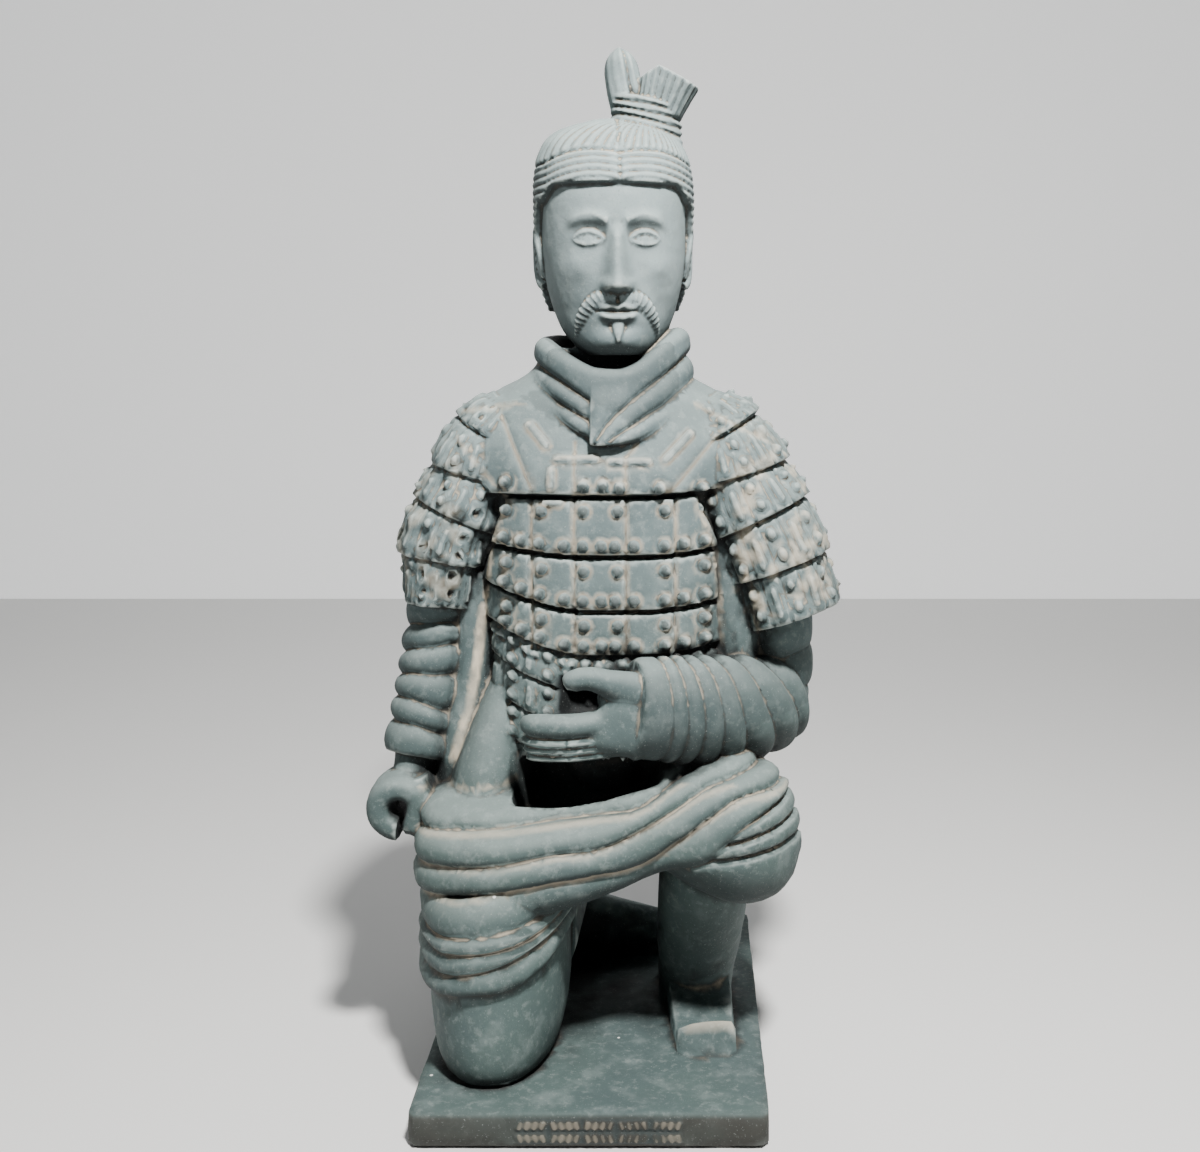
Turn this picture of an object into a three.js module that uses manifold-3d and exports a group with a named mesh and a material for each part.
// A kneeling terracotta archer on its plinth, cast as one piece.
// Millimetres, +Z up, the figure faces -Y, origin at the middle of the plinth's underside.
import * as THREE from "three";
import { mergeVertices } from "three/addons/utils/BufferGeometryUtils.js";
import Module from "manifold-3d";

const wasm = await Module();
wasm.setup();

// Driving dimensions
const plinth = { width: 396, depth: 560, height: 42, corner: 12, bevel: 5 };
const bodyX = 12;
const collarX = 20;
const headX = 22;
const headY = -4;
const headTurn = THREE.MathUtils.degToRad(5);
const yokeHem = 700;
const rowHems = [632, 570, 518, 474, 432];
const plateLap = 6;
const plateGap = 3;
const rivetRadius = 5.5;
const kneelingKneeX = -116;
const standingShinX = 124;

const { PI, abs, cos, exp, floor, hypot, max, min, sin, sqrt } = Math;
const TURN = 2 * PI;
const mix = (a, b, t) => a + (b - a) * t;
const clamp = (v, low, high) => min(max(v, low), high);
const bump = (v, middle, width) => exp(-(((v - middle) / width) ** 2));
const step = (low, high, v) => {
  const t = clamp((v - low) / (high - low), 0, 1);
  return t * t * (3 - 2 * t);
};

// A row of stations [position, value, value...] read as smooth curves at one position.
function station(rows, at) {
  let i = 0;
  while (i < rows.length - 2 && at > rows[i + 1][0]) i += 1;
  const [a, b] = [rows[i], rows[i + 1]];
  const before = rows[max(i - 1, 0)];
  const after = rows[min(i + 2, rows.length - 1)];
  const span = b[0] - a[0];
  const t = clamp((at - a[0]) / span, 0, 1);
  const slope = (p, q, k) => (q[0] > p[0] ? ((q[k] - p[k]) / (q[0] - p[0])) * span : 0);
  return a.slice(1).map((value, j) => {
    const k = j + 1;
    const m0 = slope(before, b, k);
    const m1 = slope(a, after, k);
    const d = b[k] - value;
    return value + t * (m0 + t * (3 * d - 2 * m0 - m1 + t * (m0 + m1 - 2 * d)));
  });
}

// Radius of a superellipse with half-axes 1 in direction (c, s), scaled later by both half-axes.
const squarish = (c, s, power) => (abs(c) ** power + abs(s) ** power) ** (-1 / power);

// A closed body from rings: place(angle, t) gives [x, y, z], and both ends are closed by fans.
function skin(place, around, along, angles = null, levels = null) {
  const positions = [];
  const index = [];
  const turn = (i) => (angles ? angles[i] : (i / around) * TURN);
  const level = (j) => (levels ? levels[j] : j / along);
  for (let j = 0; j <= along; j += 1) {
    for (let i = 0; i < around; i += 1) positions.push(...place(turn(i), level(j)));
  }
  const at = (i, j) => j * around + (i % around);
  for (let j = 0; j < along; j += 1) {
    for (let i = 0; i < around; i += 1) {
      index.push(at(i, j), at(i + 1, j), at(i + 1, j + 1));
      index.push(at(i, j), at(i + 1, j + 1), at(i, j + 1));
    }
  }
  for (const j of [0, along]) {
    const middle = [0, 1, 2].map((k) => {
      let sum = 0;
      for (let i = 0; i < around; i += 1) sum += positions[3 * at(i, j) + k];
      return sum / around;
    });
    const hub = positions.length / 3;
    positions.push(...middle);
    for (let i = 0; i < around; i += 1) {
      if (j === 0) index.push(hub, at(i + 1, j), at(i, j));
      else index.push(hub, at(i, j), at(i + 1, j));
    }
  }
  const geometry = new THREE.BufferGeometry();
  geometry.setAttribute("position", new THREE.Float32BufferAttribute(positions, 3));
  geometry.setIndex(index);
  return geometry;
}

// A closed geometry as a solid that can be joined and cut. A body with its faces inwards is turned out.
function solid(source) {
  const bare = source.clone();
  bare.deleteAttribute("normal");
  bare.deleteAttribute("uv");
  const merged = mergeVertices(bare, 1e-3);
  const index = merged.index.array;
  const kept = [];
  for (let i = 0; i < index.length; i += 3) {
    const [a, b, c] = [index[i], index[i + 1], index[i + 2]];
    if (a !== b && b !== c && c !== a) kept.push(a, b, c);
  }
  const build = (order) =>
    new wasm.Manifold(
      new wasm.Mesh({
        numProp: 3,
        vertProperties: new Float32Array(merged.attributes.position.array),
        triVerts: new Uint32Array(order),
      }),
    );
  const made = build(kept);
  if (made.volume() > 0) return made;
  for (let i = 0; i < kept.length; i += 3) [kept[i], kept[i + 1]] = [kept[i + 1], kept[i]];
  return build(kept);
}

// A limb: round sections along a curve through stations [x, y, z, half-width, half-height].
// "side" is the direction that the half-width is measured along; fold(angle, t) is added outwards.
function limb(stops, side, { fold = () => 0, around = 14, along = 12, power = 2, levels = null } = {}) {
  const last = stops.length - 1;
  const rows = stops.map((stop, i) => [i / last, ...stop]);
  const across = new THREE.Vector3(...side);
  const place = (angle, t) => {
    const [x, y, z, wide, high] = station(rows, t);
    const [ax, ay, az] = station(rows, max(t - 0.02, 0));
    const [bx, by, bz] = station(rows, min(t + 0.02, 1));
    const way = new THREE.Vector3(bx - ax, by - ay, bz - az).normalize();
    const up = new THREE.Vector3().crossVectors(way, across).normalize();
    const out = new THREE.Vector3().crossVectors(up, way).normalize();
    const [c, s] = [cos(angle), sin(angle)];
    const round = squarish(c, s, power);
    const extra = fold(angle, t);
    const [u, v] = [(wide + extra) * round * c, (high + extra) * round * s];
    return [x + out.x * u + up.x * v, y + out.y * u + up.y * v, z + out.z * u + up.z * v];
  };
  return solid(skin(place, around, levels ? levels.length - 1 : along, null, levels));
}

function ellipsoid([x, y, z], [rx, ry, rz], wide = 12, tall = 8) {
  const geometry = new THREE.SphereGeometry(1, wide, tall);
  geometry.rotateX(PI / 2);
  geometry.scale(rx, ry, rz);
  geometry.translate(x, y, z);
  return solid(geometry);
}

function block(size, place, turn = [0, 0, 0]) {
  const geometry = new THREE.BoxGeometry(...size);
  geometry.rotateX(turn[0]);
  geometry.rotateY(turn[1]);
  geometry.rotateZ(turn[2]);
  geometry.translate(...place);
  return solid(geometry);
}

const join = (parts) => parts.reduce((a, b) => a.add(b));

// Plinth, with rows of shallow strokes on its front in the place of an inscription
function makePlinth() {
  const { width, depth, height, corner, bevel } = plinth;
  const [w, d] = [width / 2 - bevel, depth / 2 - bevel];
  const shape = new THREE.Shape();
  shape.moveTo(corner - w, -d);
  shape.lineTo(w - corner, -d);
  shape.absarc(w - corner, corner - d, corner, -PI / 2, 0);
  shape.lineTo(w, d - corner);
  shape.absarc(w - corner, d - corner, corner, 0, PI / 2);
  shape.lineTo(corner - w, d);
  shape.absarc(corner - w, d - corner, corner, PI / 2, PI);
  shape.lineTo(-w, corner - d);
  shape.absarc(corner - w, corner - d, corner, PI, 1.5 * PI);
  const slab = new THREE.ExtrudeGeometry(shape, {
    depth: height - 2 * bevel,
    bevelSize: bevel,
    bevelThickness: bevel,
    bevelSegments: 1,
    curveSegments: 2,
  });
  slab.translate(0, 0, bevel);
  const strokes = [];
  const [groups, groupPitch, rowPitch] = [5, 37, 10];
  const lean = 0.45;
  for (let g = 0; g < groups; g += 1) {
    for (const row of [-0.5, 0.5]) {
      for (let k = 0; k < 2; k += 1) {
        const x = bodyX + (g - (groups - 1) / 2) * groupPitch + (k - 0.5) * 14;
        strokes.push(block([4, 4, 8], [x, -depth / 2, height / 2 + row * rowPitch], [0, row * 2 * lean, 0]));
      }
    }
  }
  return join([solid(slab), ...strokes]);
}

// Torso in its armour coat. Stations [z, half-width, front y, back y]
const torsoRows = [
  [352, 96, -150, 96],
  [400, 120, -150, 108],
  [474, 136, -134, 112],
  [518, 138, -126, 112],
  [570, 142, -122, 110],
  [632, 148, -118, 108],
  [700, 152, -112, 104],
  [752, 172, -98, 98],
  [790, 156, -84, 92],
  [816, 124, -72, 84],
  [840, 88, -62, 74],
  [864, 76, -60, 68],
];

function torsoPoint(angle, z, lift = 0) {
  const [wide, front, back] = station(torsoRows, z);
  const [c, s] = [cos(angle), sin(angle)];
  const round = squarish(c, s, 2.5);
  const deep = (back - front) / 2 + lift;
  return new THREE.Vector3(
    bodyX + (wide + lift) * round * c,
    (front + back) / 2 + deep * round * s,
    z,
  );
}

function torsoSurface(angle, z) {
  const point = torsoPoint(angle, z);
  const ahead = torsoPoint(angle + 0.02, z).sub(torsoPoint(angle - 0.02, z));
  const above = torsoPoint(angle, z + 2).sub(torsoPoint(angle, z - 2));
  return { point, normal: ahead.cross(above).normalize() };
}

const frontAngle = -PI / 2;
const chestSeams = [-0.87, -0.54, -0.21, 0.18, 0.54, 0.91];
const backSeams = [-0.84, -0.28, 0.28, 0.84];

function rivet({ point, normal }, lift) {
  const middle = point.clone().addScaledVector(normal, lift);
  return ellipsoid(middle.toArray(), [rivetRadius, rivetRadius, rivetRadius], 5, 2);
}

// Plates lap downwards: each row stands out most at its lower edge, and the yoke stands out over all
function plateLift(z) {
  const hem = rowHems.findIndex((low) => z >= low);
  if (z >= yokeHem) return mix(plateLap + 7, 3, step(yokeHem, 790, z));
  const low = hem < 0 ? torsoRows[0][0] : rowHems[hem];
  const top = hem <= 0 ? (hem === 0 ? yokeHem : rowHems.at(-1)) : rowHems[hem - 1];
  return mix(plateLap, 0.5, (z - low) / (top - low));
}

function makeArmour() {
  const seams = [
    ...chestSeams.map((seam) => frontAngle + seam),
    ...backSeams.map((seam) => PI / 2 + seam),
  ];
  const halfGap = 0.02;
  const angles = seams.flatMap((seam) => [seam - halfGap, seam, seam + halfGap]);
  angles.push(-0.3, 0.3, PI - 0.3, PI + 0.3, PI / 2);
  angles.sort((a, b) => a - b);
  const hems = [...rowHems].reverse();
  const levels = [torsoRows[0][0], ...hems.flatMap((hem) => [hem - 1.5, hem]), yokeHem - 1.5, yokeHem];
  levels.push(752, 790, 820, 864);
  const coat = (angle, z) => {
    const inSeam = seams.some((seam) => abs(seam - angle) < halfGap / 2) && z < 790;
    return torsoPoint(angle, z, plateLift(z) - (inSeam ? plateGap : 0)).toArray();
  };
  const parts = [solid(skin(coat, angles.length, levels.length - 1, angles, levels))];
  for (const hem of rowHems.slice(0, 3)) {
    for (let i = 0; i < chestSeams.length - 1; i += 1) {
      const angle = frontAngle + mix(chestSeams[i], chestSeams[i + 1], 0.5);
      parts.push(rivet(torsoSurface(angle, hem + 14), 5));
    }
  }
  for (const turn of [-0.75, -0.3, 0, 0.3, 0.75]) {
    parts.push(rivet(torsoSurface(frontAngle + turn, yokeHem + 14), 10));
  }
  return join(parts);
}

// Scarf collar: three rolls round the neck, dipping to a point under the chin.
// Heights at places across it: [x, rim, first crease, second crease, lower edge]
const scarfLines = [
  [-78, 878, 849, 823, 808],
  [-30, 855, 822, 798, 778],
  [6, 842, 790, 765, 755],
  [36, 842, 797, 771, 757],
  [87, 872, 836, 803, 776],
  [122, 892, 864, 828, 798],
];
const scarfBehind = [880, 852, 826, 802];
// Sections under the rolls: [z, half-width, half-depth]
const scarfSections = [
  [745, 99, 106],
  [800, 94, 92],
  [840, 89, 85],
  [890, 82, 78],
];
const scarfY = -8;
const rollHeight = 8;

function makeCollar() {
  const around = 22;
  const acrossRoll = [0, 0.15, 0.5, 0.85];
  const levels = [0, 1, 2].flatMap((roll) => acrossRoll.map((share) => roll + share));
  levels.push(3);
  const place = (angle, level) => {
    const [c, s] = [cos(angle), sin(angle)];
    const ahead = station(scarfLines, collarX + scarfSections[1][1] * c);
    const edges = ahead.map((z, i) => mix(z, scarfBehind[i], step(-0.2, 0.5, s))).reverse();
    const roll = min(floor(level), 2);
    const share = level - roll;
    const z = mix(edges[roll], edges[roll + 1], share);
    const [wide, deep] = station(scarfSections, z);
    const swell = rollHeight * sqrt(max(1 - (2 * share - 1) ** 2, 0));
    return [collarX + (wide + swell) * c, scarfY + (deep + swell) * s, z];
  };
  return solid(skin(place, around, levels.length - 1, null, levels));
}

// Head. Stations [z, half-width, front y, back y]
const headRows = [
  [856, 30, -84, -30],
  [866, 46, -95, 30],
  [890, 64, -97, 70],
  [925, 76, -96, 88],
  [960, 82, -94, 96],
  [1000, 84, -92, 98],
  [1050, 84, -84, 98],
  [1084, 77, -66, 90],
  [1106, 58, -38, 70],
  [1120, 16, 0, 36],
];
const face = { brow: 1000, eye: 984, nose: 925, mouth: 903, eyeSide: 33 };

// How far the face stands out from the plain head, x measured from its middle line
function faceRelief(x, z) {
  const side = abs(x);
  const noseRun = step(face.nose - 8, face.nose + 4, z) * (1 - step(face.brow - 14, face.brow + 6, z));
  const bridge = bump(x, 0, 10) * noseRun;
  const ridge = mix(26, 9, clamp((z - face.nose) / (face.brow - face.nose), 0, 1));
  const wings = 9 * bump(side, 13, 8) * bump(z, face.nose + 5, 8);
  const brows = 5 * bump(z, face.brow + 4 + side * 0.12, 8) * bump(side, 32, 26);
  const sockets = -7 * bump(side, face.eyeSide - 2, 19) * bump(z, face.eye, 11);
  const balls = 8 * bump(side, face.eyeSide, 12) * bump(z, face.eye - 1, 7);
  const cheeks = 4 * bump(side, 46, 20) * bump(z, face.nose + 22, 20);
  const lips = 5 * bump(x, 0, 20) * bump(z, face.mouth, 7);
  const chin = 6 * bump(x, 0, 20) * bump(z, 870, 12);
  return bridge * ridge + wings + brows + sockets + balls + cheeks + lips + chin;
}

function headPoint(angle, z, lift = 0) {
  const [wide, front, back] = station(headRows, z);
  const [c, s] = [cos(angle), sin(angle)];
  const round = squarish(c, s, 2.2);
  const x = (wide + lift) * round * c;
  const deep = (back - front) / 2 + lift;
  const y = (front + back) / 2 + deep * round * s;
  const relief = s < 0 && lift === 0 ? faceRelief(x, z) * step(0.1, 0.5, -s) : 0;
  return new THREE.Vector3(x, y - relief, z);
}

const upright = new THREE.Vector3(0, 0, 1);
const headPlace = new THREE.Vector3(headX, headY, 0);
const turnHead = (p) => p.applyAxisAngle(upright, headTurn).add(headPlace);

// The lower edge of the hair: level over the brow, down the temples, down to the nape behind
function hairEdge(angle) {
  const [c, s] = [cos(angle), sin(angle)];
  const toBack = step(-0.35, 0.35, s);
  return mix(1046, 905, toBack) - 18 * (1 - toBack) * step(0.72, 0.95, abs(c));
}

function makeHead() {
  const parts = [];
  const angles = [];
  const [faceSteps, backSteps] = [18, 4];
  for (let i = 0; i < faceSteps; i += 1) angles.push(mix(-PI, 0, i / faceSteps));
  for (let i = 0; i < backSteps; i += 1) angles.push(mix(0, PI, i / backSteps));
  const levels = [856, 866, 876, 890, 898, 904, 911, 919, 930, 950, 972, 979, 987, 996, 1006, 1045, 1100];
  const skull = (angle, z) => turnHead(headPoint(angle, z)).toArray();
  parts.push(solid(skin(skull, angles.length, levels.length - 1, angles, levels)));
  const hair = (angle, t) => {
    const z = mix(hairEdge(angle), 1121, t);
    const groove = t < 0.02 ? -4 : 0;
    const point = headPoint(angle, z, 6 + groove - 2 * (t > 0.95));
    return turnHead(point).setZ(z + 4 * t).toArray();
  };
  parts.push(solid(skin(hair, 14, 4, null, [0, 0.03, 0.5, 0.88, 1])));
  for (const side of [-1, 1]) {
    const ear = turnHead(new THREE.Vector3(side * 84, 8, 966));
    parts.push(ellipsoid(ear.toArray(), [9, 17, 30], 6, 4));
    const hung = [
      [side * 3, -110, 914, 4, 6],
      [side * 16, -110, 913, 5, 7],
      [side * 32, -101, 902, 5, 6],
      [side * 42, -90, 888, 3, 3],
    ].map(([x, y, z, w, h]) => [...turnHead(new THREE.Vector3(x, y, z)).toArray(), w, h]);
    parts.push(limb(hung, [0, 1, 0], { around: 4, along: 3 }));
  }
  const tuft = turnHead(new THREE.Vector3(0, -104, 884));
  parts.push(ellipsoid(tuft.toArray(), [8, 5, 11], 6, 4));
  return join(parts);
}

// Topknot: bound base, one rounded lock and one flared brush of hair
function makeTopknot() {
  const parts = [];
  const [x, y] = [60, 6];
  const bindings = 4;
  const pitch = 10;
  const tilt = 0.15;
  const ring = (angle, t) => {
    const wide = mix(41, 37, t) + 5 * abs(sin(PI * bindings * t));
    const across = wide * cos(angle);
    return [x + across, y + wide * 0.82 * sin(angle), 1110 + bindings * pitch * t - tilt * across];
  };
  parts.push(solid(skin(ring, 12, 2 * bindings)));
  const base = (angle, t) => {
    const across = mix(50, 38, t) * cos(angle);
    return [x - 10 + across, y + mix(46, 30, t) * sin(angle), mix(1092, 1118, t)];
  };
  parts.push(solid(skin(base, 12, 1)));
  const lock = [
    [40, y, 1140, 20, 17],
    [34, y, 1166, 19, 18],
    [31, y + 2, 1188, 17, 16],
    [30, y + 6, 1203, 7, 7],
  ];
  parts.push(limb(lock, [1, 0, 0], { around: 8, along: 5 }));
  const brush = (angle, t) => {
    const wide = mix(23, 27, t) * squarish(cos(angle), sin(angle), 3);
    const deep = mix(20, 26, t) * squarish(cos(angle), sin(angle), 3);
    const strand = 1 + 0.06 * sin(8 * angle);
    const across = wide * strand * cos(angle);
    return [mix(76, 92, t) + across, y + deep * strand * sin(angle), mix(1140, 1176, t) - across * 0.45];
  };
  parts.push(solid(skin(brush, 16, 1)));
  return join(parts);
}

// Shoulder guards of lapped rows. Stations [x from the body's middle, y, z, half-thickness, half-depth]
const guardStops = {
  left: [
    [112, 4, 798, 28, 60],
    [144, 2, 752, 46, 82],
    [164, 0, 690, 56, 90],
    [190, -4, 628, 56, 90],
    [198, -8, 562, 40, 80],
  ],
  right: [
    [112, 4, 798, 28, 60],
    [144, 2, 752, 50, 84],
    [166, 0, 690, 62, 92],
    [198, -4, 620, 62, 94],
    [222, -8, 548, 54, 90],
  ],
};

function guardPoint(side, angle, t, lift = 0) {
  const stops = side < 0 ? guardStops.left : guardStops.right;
  const rows = stops.map((stop, i) => [i / (stops.length - 1), ...stop]);
  const [x, y, z, thick, deep] = station(rows, t);
  const [px, , pz] = station(rows, max(t - 0.03, 0));
  const [qx, , qz] = station(rows, min(t + 0.03, 1));
  const long = hypot(qx - px, qz - pz);
  const [c, s] = [cos(angle), sin(angle)];
  const round = squarish(c, s, 2.3);
  const out = (thick + lift) * round * c;
  return new THREE.Vector3(
    bodyX + side * (x - (out * (qz - pz)) / long),
    y + (deep + lift) * round * s,
    z + (out * (qx - px)) / long,
  );
}

function makeGuards() {
  const parts = [];
  const rows = 5;
  for (const side of [-1, 1]) {
    const edges = [];
    for (let k = 0; k < rows; k += 1) edges.push(k / rows, (k + 1) / rows - 0.004);
    const lift = (t) => {
      const along = t * rows;
      return 1 + 5 * (along - floor(min(along, rows - 0.001)));
    };
    const place = (angle, t) => guardPoint(side, angle, t, lift(t)).toArray();
    parts.push(solid(skin(place, 12, edges.length - 1, null, edges)));
    const surface = (angle, t) => {
      const point = guardPoint(side, angle, t);
      return { point, normal: guardPoint(side, angle, t, 5).sub(point).normalize() };
    };
    for (let k = 1; k < rows; k += 1) {
      for (const angle of [-1.9, -1.1]) {
        parts.push(rivet(surface(angle, (k + 0.72) / rows), 6));
      }
    }
  }
  return join(parts);
}

// Folds around a limb: "count" swelling rolls of cloth
const rolls = (count, height) => (angle, t) => height * abs(sin(PI * t * count)) ** 0.7;

function rollLevels(count) {
  const levels = [];
  for (let k = 0; k < count; k += 1) levels.push(k / count, (k + 0.5) / count);
  levels.push(1);
  return levels;
}

// The hanging arm at -X, with the hand curled into a tube
function makeHangingArm() {
  const parts = [];
  const sleeve = [
    [-176, 0, 640, 34, 44],
    [-186, -18, 566, 34, 42],
    [-200, -38, 470, 34, 40],
    [-217, -58, 382, 33, 38],
  ];
  parts.push(limb(sleeve, [1, 0, 0], { fold: rolls(8, 7), around: 10, levels: rollLevels(8) }));
  const web = [
    [-146, -20, 600, 26, 44],
    [-148, -28, 480, 30, 44],
    [-162, -38, 400, 32, 48],
    [-168, -44, 320, 34, 44],
  ];
  parts.push(limb(web, [1, 0, 0], { around: 8, along: 4 }));
  const wrist = [
    [-217, -58, 392, 24, 28],
    [-222, -72, 360, 22, 28],
    [-226, -80, 345, 20, 26],
  ];
  parts.push(limb(wrist, [1, 0, 0], { around: 10, along: 3 }));
  const grip = (angle, t) => [-228 + 38 * cos(angle), mix(-122, -50, t), 330 + 39 * sin(angle)];
  const bore = (angle, t) => [-232 + 11 * cos(angle), mix(-140, -30, t), 334 + 11 * sin(angle)];
  const slit = block([3, 90, 30], [-212, -86, 305], [0, 0.5, 0]);
  return join([...parts, solid(skin(grip, 14, 2))]).subtract(solid(skin(bore, 8, 1))).subtract(slit);
}

// The bent arm at +X: upper arm, gathered forearm sleeve, and the flat hand in front of the belly
function makeBentArm() {
  const parts = [];
  const upper = [
    [204, 4, 620, 44, 54],
    [212, 2, 540, 44, 54],
    [214, 0, 462, 42, 50],
    [206, -10, 424, 34, 40],
  ];
  parts.push(limb(upper, [1, 0, 0], { fold: rolls(4, 5), around: 10, levels: rollLevels(4) }));
  const web = [
    [146, -10, 650, 40, 60],
    [160, -16, 540, 40, 60],
    [168, -20, 440, 36, 50],
  ];
  parts.push(limb(web, [1, 0, 0], { around: 8, along: 3 }));
  const forearm = [
    [230, 0, 440, 26, 34],
    [210, -24, 438, 46, 52],
    [160, -84, 444, 50, 58],
    [100, -132, 455, 46, 58],
    [40, -160, 461, 40, 60],
  ];
  parts.push(limb(forearm, [0, 1, 0], { fold: rolls(8, 6), around: 10, levels: rollLevels(8) }));
  const palm = [
    [50, -162, 458, 22, 34],
    [20, -168, 456, 20, 32],
    [-12, -172, 446, 17, 24],
    [-30, -174, 440, 14, 20],
  ];
  parts.push(limb(palm, [0, 1, 0], { around: 8, along: 3 }));
  const fingerTall = 11;
  for (let k = 0; k < 4; k += 1) {
    const z = 448 - k * fingerTall;
    const tall = k === 0 ? 12 : 7.5;
    const finger = [
      [12, -176 + k * 2, z, 14, tall],
      [-30, -184 + k * 2, z - 1, 14, tall],
      [-66 + k * 4, -176 + k * 3, z - 3, 12, tall],
      [-78 + k * 5, -162 + k * 3, z - 4, 7, tall * 0.7],
    ];
    parts.push(limb(finger, [0, 1, 0], { around: 5, along: 3 }));
  }
  const thumb = [
    [26, -176, 470, 14, 18],
    [4, -182, 492, 12, 12],
    [-18, -184, 502, 11, 11],
    [-30, -182, 500, 7, 8],
  ];
  parts.push(limb(thumb, [0, 1, 0], { around: 6, along: 4 }));
  return join(parts);
}

// The robe over the lap, from the hip at -X to the raised knee.
// Stations [x, middle z, half-height, front y, back y]
const lapRows = [
  [-204, 272, 26, -120, -30],
  [-192, 276, 64, -160, 20],
  [-150, 278, 75, -192, 70],
  [-100, 280, 76, -208, 100],
  [-40, 286, 71, -206, 110],
  [20, 302, 67, -196, 110],
  [75, 322, 65, -186, 90],
  [120, 318, 78, -190, 60],
  [165, 312, 86, -194, 20],
  [203, 306, 74, -176, -20],
  [226, 300, 48, -144, -50],
  [236, 298, 16, -116, -80],
];
const bands = 5;

// Bands run along the lap, evenly down the hip and drawn up over the raised knee
function makeLap() {
  const angles = [];
  const [frontSteps, backSteps] = [20, 4];
  for (let i = 0; i < frontSteps; i += 1) angles.push(mix(0.42 * PI, 1.58 * PI, i / frontSteps));
  for (let i = 0; i < backSteps; i += 1) angles.push(mix(1.58 * PI, 2.42 * PI, i / backSteps));
  const [from, to] = [lapRows[0][0], lapRows.at(-1)[0]];
  const levels = lapRows.map((row) => (row[0] - from) / (to - from));
  const place = (angle, t) => {
    const x = mix(from, to, t);
    const [mid, tall, front, back] = station(lapRows, x);
    const [c, s] = [cos(angle), sin(angle)];
    const round = squarish(c, s, 2.4);
    const down = (angle - 0.42 * PI) / (1.16 * PI);
    const reach = mix(1, 0.66, step(-20, 190, x));
    const along = (down / reach) * bands;
    const swell = along > 0 && along < bands ? 7 * abs(sin(PI * along)) ** 0.6 : 2;
    const deep = (back - front) / 2 + swell;
    return [x, (front + back) / 2 + deep * round * c, mid + (tall + swell) * round * s];
  };
  return solid(skin(place, angles.length, levels.length - 1, angles, levels));
}

// The kneeling leg: knee on the plinth, shin lying back, foot tucked under the seat
function makeKneelingLeg() {
  const parts = [];
  const x = kneelingKneeX;
  const column = [
    [38, 62, -222, 60],
    [52, 74, -238, 70],
    [90, 82, -242, 70],
    [150, 85, -236, 70],
    [206, 84, -228, 70],
    [262, 80, -210, 70],
  ];
  const [folds, foldStart, foldReach] = [4, 0.52, 0.44];
  const place = (angle, t) => {
    const sag = 22 * max(0, -sin(angle)) ** 2 * step(0.35, 0.6, t) * (1 - 0.4 * t);
    const z = mix(column[0][0], column.at(-1)[0], t);
    const [wide, front, back] = station(column, z);
    const [c, s] = [cos(angle), sin(angle)];
    const round = squarish(c, s, 2.2);
    const along = ((t - foldStart) / foldReach) * folds;
    const swell = along > 0 && s < 0.4 ? 6 * abs(sin(PI * along)) ** 0.7 : 0;
    const bite = along < 0 && along > -0.3 ? -2 : 0;
    return [
      x + (wide + swell + bite) * round * c,
      (front + back) / 2 + ((back - front) / 2 + swell + bite) * round * s,
      z - sag,
    ];
  };
  const levels = [0, 0.06, 0.14, 0.3, 0.47, 0.515];
  for (let k = 0; k < folds; k += 1) {
    levels.push(foldStart + (foldReach * (k + 0.5)) / folds, foldStart + (foldReach * (k + 1)) / folds);
  }
  parts.push(solid(skin(place, 14, levels.length - 1, null, levels)));
  const shin = [
    [x, -40, 92, 62, 56],
    [x + 2, 60, 84, 52, 48],
    [x + 6, 150, 76, 42, 42],
    [x + 8, 206, 84, 36, 44],
  ];
  parts.push(limb(shin, [1, 0, 0], { around: 10, along: 4 }));
  const foot = [
    [x + 8, 178, 150, 34, 30],
    [x + 8, 206, 110, 38, 30],
    [x + 8, 222, 70, 40, 28],
    [x + 8, 226, 40, 38, 30],
  ];
  parts.push(limb(foot, [1, 0, 0], { around: 8, along: 3 }));
  return join(parts);
}

// The raised leg's shin and its square-toed shoe
function makeRaisedLeg() {
  const x = standingShinX;
  const shin = [
    [x + 16, -70, 300, 62, 70],
    [x + 6, -56, 230, 56, 62],
    [x, -24, 150, 53, 56],
    [x - 4, 2, 90, 48, 56],
    [x - 6, 6, 40, 46, 58],
  ];
  const parts = [limb(shin, [1, 0, 0], { around: 12, along: 5 })];
  const shoe = (angle, t) => {
    const y = mix(70, -154, t);
    const middle = mix(x - 8, x + 8, t);
    const wide = mix(46, 34, t) - 10 * step(0.94, 1, t);
    const top = mix(112, 62, step(0.25, 0.85, t)) + 13 * bump(t, 0.93, 0.05) - 14 * step(0.96, 1, t);
    const round = squarish(cos(angle), sin(angle), 4);
    const rise = sin(angle) * round;
    return [middle + wide * round * cos(angle), y, rise > 0 ? mix(50, top, rise) : mix(50, 36, -rise)];
  };
  parts.push(solid(skin(shoe, 12, 9, null, [0, 0.3, 0.5, 0.7, 0.84, 0.9, 0.94, 0.97, 0.985, 1])));
  return join(parts);
}

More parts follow.
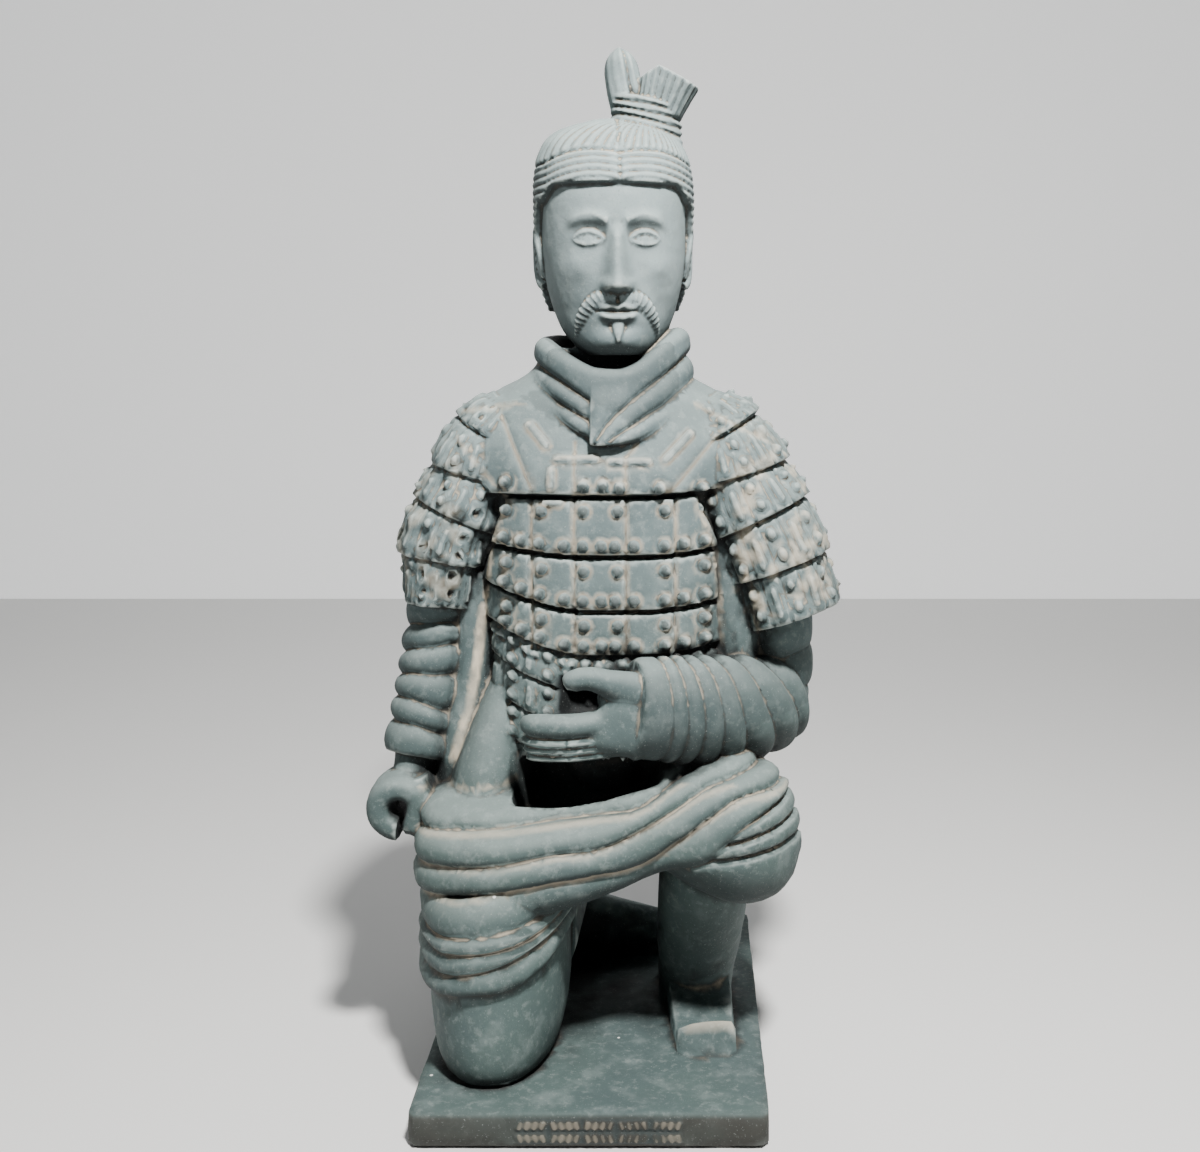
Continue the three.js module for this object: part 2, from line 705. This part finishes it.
// Seat and the back of the robe, falling behind the figure onto the tucked foot
function makeSeat() {
  const rows = [
    [172, 56, 60, 176],
    [206, 88, 0, 196],
    [256, 124, -50, 190],
    [320, 134, -90, 158],
    [400, 126, -90, 122],
  ];
  const flutes = 5;
  const place = (angle, t) => {
    const z = mix(rows[0][0], rows.at(-1)[0], t);
    const [wide, front, back] = station(rows, z);
    const [c, s] = [cos(angle), sin(angle)];
    const swell = s > 0 ? 5 * abs(sin(flutes * angle)) ** 0.7 * s : 0;
    const round = squarish(c, s, 2.2);
    return [
      mix(-84, 8, step(0, 0.7, t)) + (wide + swell) * round * c,
      (front + back) / 2 + ((back - front) / 2 + swell) * round * s,
      z,
    ];
  };
  const parts = [solid(skin(place, 20, 4))];
  const hip = [
    [-96, -30, 470, 34, 60],
    [-112, -36, 410, 44, 84],
    [-126, -46, 340, 54, 100],
    [-130, -46, 300, 50, 100],
  ];
  parts.push(limb(hip, [1, 0, 0], { around: 10, along: 3 }));
  const gathers = 6;
  const drape = [
    [kneelingKneeX + 4, -60, 170, 82, 112],
    [kneelingKneeX + 8, 30, 178, 84, 112],
    [kneelingKneeX + 16, 110, 196, 84, 92],
    [kneelingKneeX + 24, 168, 216, 72, 64],
    [kneelingKneeX + 30, 198, 228, 40, 34],
  ];
  const gather = (angle, t) => 5 * abs(sin(gathers * angle)) * (1 - t);
  parts.push(limb(drape, [1, 0, 0], { fold: gather, around: 18, along: 4 }));
  const trail = [
    [-60, 140, 90, 34, 52],
    [10, 150, 76, 26, 40],
    [84, 150, 66, 20, 32],
  ];
  parts.push(limb(trail, [0, 1, 0], { around: 8, along: 2 }));
  return join(parts);
}

const body = join([
  makePlinth(),
  makeKneelingLeg(),
  makeRaisedLeg(),
  makeSeat(),
  makeLap(),
  makeArmour(),
  makeGuards(),
  makeHangingArm(),
  makeBentArm(),
  makeCollar(),
  makeHead(),
  makeTopknot(),
]);

// The outer skin of the join as a geometry: hollows that the parts enclose between them are left out
function geometryOf(joined) {
  const { vertProperties, triVerts, numProp } = joined.getMesh();
  const corner = (i, k) => vertProperties[i * numProp + k];
  const group = Array.from({ length: vertProperties.length / numProp }, (_, i) => i);
  const root = (i) => {
    while (group[i] !== i) {
      group[i] = group[group[i]];
      i = group[i];
    }
    return i;
  };
  for (let i = 0; i < triVerts.length; i += 3) {
    group[root(triVerts[i + 1])] = root(triVerts[i]);
    group[root(triVerts[i + 2])] = root(triVerts[i]);
  }
  let tallest = 0;
  for (let i = 1; i < group.length; i += 1) if (corner(i, 2) > corner(tallest, 2)) tallest = i;
  const outer = root(tallest);
  const index = [];
  const positions = [];
  const renumbered = new Map();
  for (const i of triVerts) {
    if (root(i) !== outer) continue;
    if (!renumbered.has(i)) {
      renumbered.set(i, renumbered.size);
      positions.push(corner(i, 0), corner(i, 1), corner(i, 2));
    }
    index.push(renumbered.get(i));
  }
  const geometry = new THREE.BufferGeometry();
  geometry.setAttribute("position", new THREE.Float32BufferAttribute(positions, 3));
  geometry.setIndex(index);
  return geometry;
}

const clay = new THREE.MeshStandardMaterial({ color: 0x6f8280, roughness: 0.92, metalness: 0 });
const warrior = new THREE.Mesh(geometryOf(body), clay);
warrior.name = "kneeling_warrior";

const part = new THREE.Group();
part.add(warrior);
export default part;
